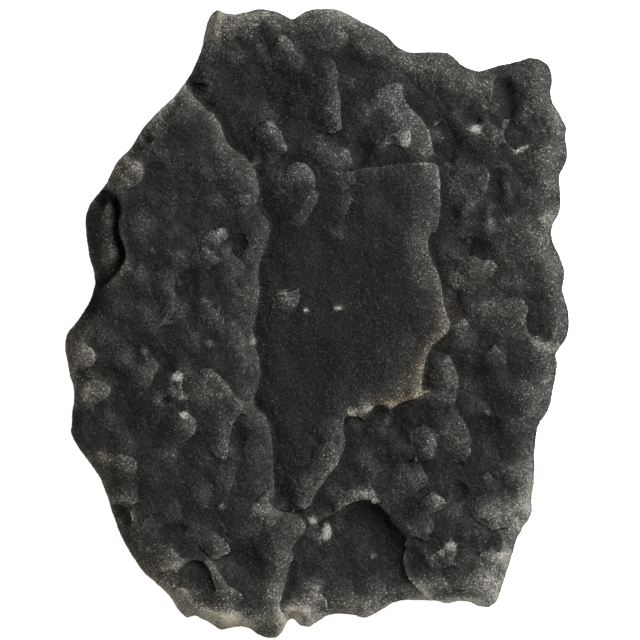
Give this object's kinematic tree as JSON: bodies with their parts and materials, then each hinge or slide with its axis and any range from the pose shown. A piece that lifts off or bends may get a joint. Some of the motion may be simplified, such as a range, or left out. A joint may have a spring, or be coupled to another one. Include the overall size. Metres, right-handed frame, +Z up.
{
  "type": "druzy chalcedony specimen",
  "caption": "Loose plate of dark chalcedony: overlapping slabs and lumps under a sparkling crust of fine quartz, with broken sides and a flat back to rest on.",
  "frame": {"origin": "under the middle of the stone's plan, on its flat back", "axes": "+Z up out of the crust, +Y towards the top of the picture, +X to its right"},
  "size_m": [0.1008, 0.126, 0.0229],
  "materials": {
    "chalcedony": "fine crystal crust"
  },
  "bodies": {
    "root": {"druzy_stone": "chalcedony"}
  },
  "joints": []
}
